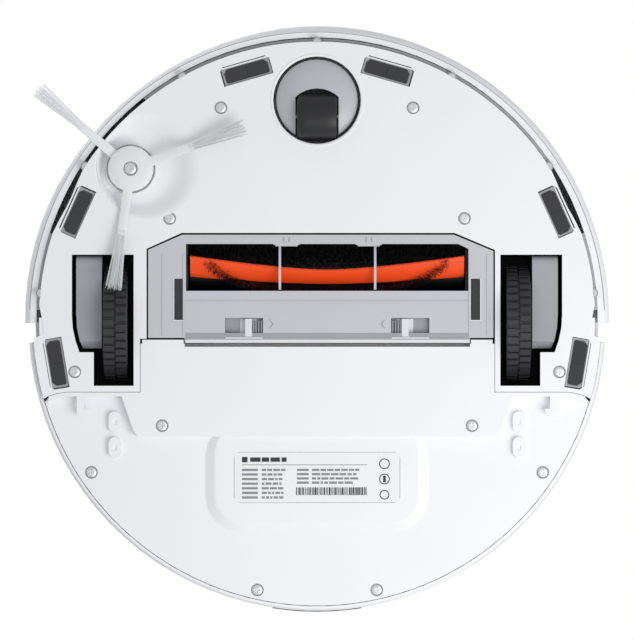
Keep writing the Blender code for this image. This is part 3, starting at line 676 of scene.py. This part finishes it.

# %% [markdown]
# Small mouldings finish the base: tabs that clip the bumper, a flange that keeps dust out of the
# bumper's gap, sensor windows in two halves and a bright rim round the caster. Each is a straight
# box, a section swept round the machine or a turned ring, the three simplest shapes to mould. Grey
# rings round the clips, the flange in the bumper's gap, a thin line on the bumper's step, a bar between
# the sensor halves and rings round the screw heads are drawn darker as painted shade.

# %% Base details
CLIP_ANGLES = (-84.5, -56.5, -29, 0, 29, 56.5, 84.5)
CLIP_LINE_R = 166.1
CASTER_CENTRE = Vector((0, -131.4, 10.0)) * MM


def block(bm, x0, x1, y0, y1, z0, z1):
    """A box between two corners, in millimetres."""
    middle = Vector(((x0 + x1) / 2, (y0 + y1) / 2, (z0 + z1) / 2)) * MM
    add_box(bm, ((x1 - x0) * MM, (y1 - y0) * MM, (z1 - z0) * MM), Matrix.Translation(middle))


def rim_point(degrees, radius, z):
    """A point at an angle from the front, in millimetres."""
    a = math.radians(degrees)
    return Vector((radius * math.sin(a), -radius * math.cos(a), z)) * MM


def sector(bm, start, stop, section):
    """A closed section of (radius, z) swept from one angle to another round the machine."""
    count = max(2, round(abs(stop - start) / 2))
    rings = [[bm.verts.new(rim_point(start + (stop - start) * i / count, r, z)) for r, z in section]
             for i in range(count + 1)]
    skin(bm, rings)


def half_disc(bm, degrees, radius, z0, z1):
    """A half-round tab on the rim, its flat side towards the middle."""
    out = rim_point(degrees, 1, 0)
    across = Vector((-out.y, out.x, 0))
    rings = []
    for z in (z0, z1):
        centre = rim_point(degrees, CLIP_LINE_R, z)
        turns = [math.pi * k / 14 for k in range(15)]
        rings.append([bm.verts.new(centre + radius * (across * math.cos(t) + out * math.sin(t)))
                      for t in turns])
    skin(bm, rings)


def finished(name, bm, body, material, node=None):
    """A piece with its faces turned outwards, which may replace a frame part."""
    bmesh.ops.recalc_face_normals(bm, faces=bm.faces)
    made = piece(name, bm, body, material)
    if node:
        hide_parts(node)


def build_rim():
    """What shows along the edge: clips ringed with painted shadow, the dust flange and a line on the
    bumper's step, both grey as painted shade, and the base's ends.
    """
    tabs, rings, flange = bmesh.new(), bmesh.new(), bmesh.new()
    # The grey rings round the clips are painted shadow.
    for degrees in CLIP_ANGLES:
        half_disc(rings, degrees, 2.9, 9.95, 10.6)
        half_disc(tabs, degrees, 2.2, 9.55, 10.8)
    # The flange is drawn in gearbox grey as painted shade of the bumper's gap.
    for start, stop in ((-88, -72), (-38, 56), (72, 88)):
        sector(flange, start, stop, [(165.4, 13.6), (168.4, 13.6), (168.4, 14.4), (165.4, 14.4)])
    finished("clip_shadow_rings", rings, "chassis", gear_abs)
    finished("bumper_clips", tabs, "chassis", grey_abs)
    finished("bumper_flange_painted_shade", flange, "bumper", gear_abs)
    step, ends = bmesh.new(), bmesh.new()
    # A thin grey line on the bumper is painted shade of its step.
    sector(step, -88, 88, [(172.1, 13.25), (172.5, 13.25), (172.5, 13.7), (172.1, 13.7)])
    finished("bumper_step_painted_shade", step, "bumper", gear_abs)
    for start, stop in ((-93.4, -89.6), (89.6, 93.4)):
        sector(ends, start, stop, [(162.5, 10.3), (166.3, 10.3), (166.3, 12.6), (162.5, 12.6)])
    finished("base_end_tabs", ends, "chassis", white_abs)


def build_sensor(node):
    """A smoked window in two halves with a dark bar between them as painted shadow, set back in a
    frame with a pale outer bevel.
    """
    lowest, highest = (Vector(v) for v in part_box(node))
    centre = (lowest + highest) / 2
    outwards = Matrix.Rotation(math.atan2(centre.y, centre.x), 4, "Z")
    spot = Matrix.Translation((centre.x, centre.y, 0)) @ outwards
    panes, surround, wall = bmesh.new(), bmesh.new(), bmesh.new()
    outline = [(-4.2, 0.35), (4.2, 0.35), (4.2, 11.4), (1.9, 13.4), (-3.4, 13.4), (-4.2, 12.6)]
    for side in (-1, 1):
        skin(panes, [[panes.verts.new(spot @ (Vector((x * k, side * y, z)) * MM)) for x, y in outline]
                     for z, k in ((10.5, 0.94), (10.8, 1.0), (11.6, 1.0))])
    # The thin dark bar between the two halves is painted shadow, in the windows' smoked plastic.
    for bm, size, x, z in ((panes, (8.2, 1.4, 0.5), 0, 11.1), (surround, (10.6, 29.4, 1.2), 0, 11.7),
                           (wall, (0.8, 28.0, 1.4), 5.2, 10.9)):
        add_box(bm, Vector(size) * MM, spot @ Matrix.Translation(Vector((x, 0, z)) * MM))
    finished(f"{node}_windows", panes, "chassis", lens_plastic, node)
    finished(f"{node}_frame", surround, "chassis", gear_abs, node)
    finished(f"{node}_outer_bevel", wall, "chassis", white_abs)


def build_cheek_strips():
    """The base's pale edge behind each cheek of the brush cover."""
    bm = bmesh.new()
    for x0, x1 in ((-104.6, -79.8), (92.1, 105.0)):
        block(bm, x0, x1, 12.0, 14.6, 10.1, 12.6)
    finished("cheek_strips", bm, "chassis", white_abs)


def build_screw_rings():
    """A grey ring round each screw head, painted shade in its seat."""
    bm = bmesh.new()
    profile = [(r * MM, z * MM) for r, z in ((3.3, 0.5), (3.85, 0.5), (3.85, 1.0), (3.3, 1.0))]
    for node in BASE_SCREWS:
        ring = lathe_z(profile, underside(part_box(node)), 40)
        mesh = bpy.data.meshes.new("ring")
        ring.to_mesh(mesh)
        ring.free()
        bm.from_mesh(mesh)
        bpy.data.meshes.remove(mesh)
    finished("screw_seat_painted_shade", bm, "chassis", gear_abs)


def build_caster_rim():
    """The raised lip round the caster's hole."""
    profile = [(26.25, -0.2), (26.7, -0.45), (27.5, -0.45), (28.0, 0.3), (27.4, 0.6), (26.25, 0.6)]
    rim = lathe_z([(r * MM, z * MM) for r, z in profile], CASTER_CENTRE)
    finished("caster_hole_rim", rim, "chassis", white_abs)


def build_caster_wheel():
    """A smooth barrel-shaped roller in place of the faceted one."""
    lowest, highest = (Vector(v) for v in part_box("caster_wheel"))
    half = [(1.7, 11.9), (12.4, 11.9), (13.3, 11.3), (13.8, 9.5), (13.98, 6.0), (13.98, 2.0)]
    profile = [(r * MM, -x * MM) for r, x in half] + [(r * MM, x * MM) for r, x in reversed(half)]
    wheel = lathe_x(profile, (lowest + highest) / 2)
    finished("caster_roller_skin", wheel, "caster_roller", black_abs,
             "caster_wheel")


build_rim()
build_caster_wheel()
build_cheek_strips()
build_screw_rings()
build_caster_rim()
sensors = sorted(n for n in frame["nodes"] if n.startswith("cliff_sensor"))
for node in sensors:
    build_sensor(node)
print(len(sensors), "sensor windows and", len(CLIP_ANGLES), "bumper clips")

# %% [markdown]
# The rating label is printed film stuck to the base. Plain bars stand for its lines of print, thin
# raised strips that need no image, with a striped block and three round marks beside them.

# %% Rating label
INK_Z = (12.15, 12.35)
TEXT_LEFT = -44.9
BAR_HEIGHT = 1.3
WORD_GAP = 0.7


def build_label():
    """Plain bars in place of words, with a striped block and three plain marks."""
    random.seed(11)
    ink, dark = bmesh.new(), bmesh.new()
    block(dark, TEXT_LEFT, -41.6, 82.2, 85.4, *INK_Z)
    for x, wide in ((-40.0, 6.2), (-33.0, 4.4), (-27.8, 5.6), (-21.2, 3.0)):
        block(dark, x, x + wide, 82.5, 85.1, *INK_Z)
    block(dark, TEXT_LEFT, 30.2, 86.8, 87.05, *INK_Z)
    for row in range(7):
        y = 89.3 + row * 2.75
        block(ink, TEXT_LEFT, TEXT_LEFT + 9.5, y, y + BAR_HEIGHT, *INK_Z)
        x = -33.0
        while x < -20.5:
            wide = random.uniform(1.2, 4.2)
            block(ink, x, min(x + wide, -18.0), y, y + BAR_HEIGHT, *INK_Z)
            x += wide + WORD_GAP
    for row in range(4):
        y = 89.3 + row * 2.55
        block(ink, -12.0, -5.0, y, y + BAR_HEIGHT, *INK_Z)
        x = -3.0
        while x < 26 - 3 * row:
            wide = random.uniform(1.5, 5.0)
            block(ink, x, x + wide, y, y + BAR_HEIGHT, *INK_Z)
            x += wide + WORD_GAP
    x = -12.5
    while x < 29.6:
        wide = random.choice((0.35, 0.55, 0.9))
        block(dark, x, x + wide, 100.4, 105.0, *INK_Z)
        x += wide + random.choice((0.35, 0.6))
    for y, radius in ((86.3, 3.2), (95.4, 3.2), (104.8, 2.9)):
        inner = radius - 0.55
        profile = [(r * MM, z * MM) for r, z in ((inner, 0), (radius, 0), (radius, 0.2), (inner, 0.2))]
        ring = lathe_z(profile, Vector((40.4, y, INK_Z[0])) * MM, 32)
        finished(f"label_mark_{round(y)}", ring, "chassis", label_dark, "rating_label")
    block(dark, 39.6, 41.2, 93.4, 97.4, *INK_Z)
    finished("label_small_bars", ink, "chassis", label_ink, "rating_label")
    finished("label_dark_bars", dark, "chassis", label_dark, "rating_label")
    film = bmesh.new()
    block(film, -49.4, 49.4, 79.5, 109.3, 12.27, 12.58)
    finished("label_sheet", film, "chassis", label_film, "rating_label")


build_label()
print("label with plain bars in place of words")

# %% [markdown]
# The roller's cover is one grey moulding. Its rear lip is folded for stiffness, each cheek has two
# ribs, the finger pockets have floors and latch ribs, and small arrows show which way the latches slide.
# The lip and the pocket edges are drawn paler as painted highlight; the band before the lip, the pocket
# floors, the latch ribs and the arrows are drawn darker as painted shade.

# %% Brush cover details


def build_cover_details():
    """Ribs in the cover's own grey, pale strips as painted highlight on the lip and pocket edges, and
    darker marks as painted shade where the moulding is in shade.
    """
    ribs, shade, rim = bmesh.new(), bmesh.new(), bmesh.new()
    for x in (-92.2, -79.7, 91.2, 102.0):
        block(ribs, x - 0.5, x + 0.5, -39.0, 9.5, 9.25, 10.0)
    block(ribs, -78.5, 90.5, -11.5, -10.9, 9.3, 10.0)
    # The pale strips on the lip and on the pockets' rear edges are painted highlight, in latch grey.
    block(rim, -78.6, 91.0, 11.9, 13.7, 9.0, 10.0)
    # Darker strips are painted shade: the band before the lip, the pocket floors, the ribs in them, the arrows and
    # the marks by the front ribs.
    block(shade, -78.6, 91.0, 8.0, 11.4, 9.55, 10.0)
    for middle, side in ((-43.65, 1), (55.8, -1)):
        block(shade, middle - 11.2, middle + 11.2, -0.9, 10.4, 13.1, 13.6)
        for k in range(4):
            x = middle + side * (5.6 + 1.6 * k)
            block(shade, x - 0.35, x + 0.35, 0.5, 9.4, 10.6, 13.2)
        block(rim, middle - 11.2, middle + 11.2, 10.5, 11.3, 9.2, 9.9)
        tip = middle + side * 17.2
        for sign in (-1, 1):
            spot = Matrix.Translation(Vector((tip - side * 0.9, 2.6 + sign * 1.3, 9.65)) * MM)
            slant = Matrix.Rotation(-side * sign * 0.95, 4, "Z")
            add_box(shade, (3.4 * MM, 0.45 * MM, 0.25 * MM), spot @ slant)
    for x in (-18.2, 31.0):
        block(ribs, x - 6.6, x + 6.6, -45.6, -43.9, 9.75, 10.9)
        for dx in (-1.6, 1.6):
            block(shade, x + dx - 0.35, x + dx + 0.35, -49.3, -46.4, 9.5, 9.9)
    finished("cover_ribs", ribs, "brush_guard", grey_abs)
    finished("cover_lip_painted_highlight", rim, "brush_guard", latch_abs)
    finished("cover_painted_shade", shade, "brush_guard", gear_abs)
    # The pale strips round each pad pocket are painted highlight.
    for side, x0, x1 in (("left", -85.4, -79.9), ("right", 92.0, 97.6)):
        edge = bmesh.new()
        block(edge, x0 - 0.7, x0, -24.9, 0.7, 9.3, 10.0)
        block(edge, x1, x1 + 0.7, -24.9, 0.7, 9.3, 10.0)
        block(edge, x0, x1, 0.2, 0.8, 9.3, 10.0)
        finished(f"cover_pad_painted_highlight_{side}", edge, "brush_guard", latch_abs)


build_cover_details()
print("brush cover ribs, lip, latch pockets and arrows")

# %% [markdown]
# The floor is plain and pale. The catalogue camera is below it, so the floor's underside is clear
# and only its top side is opaque: from below the machine shows against the white studio.

# %% Studio
FLOOR_SIZE = 12.0
FILL_STRENGTH = 0.66
LIGHT_AIM = Vector((0, 0, 0.02))


def build_floor():
    """A sheet of paper that is clear from below and solid from above."""
    mesh = bpy.data.meshes.new("studio_floor")
    half = FLOOR_SIZE / 2
    corners = [(-half, -half, 0), (half, -half, 0), (half, half, 0), (-half, half, 0)]
    mesh.from_pydata(corners, [], [(0, 1, 2, 3)])
    floor = bpy.data.objects.new("studio_floor", mesh)
    bpy.context.scene.collection.objects.link(floor)
    made, tree, surface = new_material("studio_paper", Roughness=0.8)
    surface.inputs["Base Color"].default_value = hexa("E4E4E6")
    side = add(tree, "ShaderNodeNewGeometry")
    clear = add(tree, "ShaderNodeBsdfTransparent")
    either = add(tree, "ShaderNodeMixShader", Fac=side.outputs["Backfacing"])
    tree.links.new(surface.outputs["BSDF"], either.inputs[1])
    tree.links.new(clear.outputs["BSDF"], either.inputs[2])
    tree.links.new(either.outputs["Shader"], tree.nodes["Material Output"].inputs["Surface"])
    mesh.materials.append(made)
    floor.visible_diffuse = floor.visible_glossy = floor.visible_transmission = False
    floor.visible_shadow = False


def soft_light(name, place_m, size, power):
    """A round softbox turned towards the machine."""
    data = bpy.data.lights.new(name, "AREA")
    data.shape = "DISK"
    data.size = size
    data.energy = power
    lamp = bpy.data.objects.new(name, data)
    lamp.location = place_m
    lamp.rotation_euler = (LIGHT_AIM - Vector(place_m)).to_track_quat("-Z", "Y").to_euler()
    bpy.context.scene.collection.objects.link(lamp)


def studio_world():
    """White paper to the camera, and a dimmer even fill for everything else."""
    world = bpy.data.worlds.new("studio")
    bpy.context.scene.world = world
    world.use_nodes = True
    tree = world.node_tree
    fill = tree.nodes["Background"]
    fill.inputs["Color"].default_value = hexa("F4F5F8")
    fill.inputs["Strength"].default_value = FILL_STRENGTH
    paper = add(tree, "ShaderNodeBackground", {"Color": (1, 1, 1, 1), "Strength": 1.0})
    rays = add(tree, "ShaderNodeLightPath")
    either = add(tree, "ShaderNodeMixShader", Fac=rays.outputs["Is Camera Ray"])
    tree.links.new(fill.outputs["Background"], either.inputs[1])
    tree.links.new(paper.outputs["Background"], either.inputs[2])
    tree.links.new(either.outputs["Shader"], tree.nodes["World Output"].inputs["Surface"])


build_floor()
studio_world()
soft_light("key_softbox", (0.52, 0.36, -0.72), 0.7, 4.8)
soft_light("top_softbox", (-0.9, -1.2, 2.0), 1.4, 40)
bpy.context.scene.view_settings.view_transform = "Standard"
print("floor, world and two softboxes")
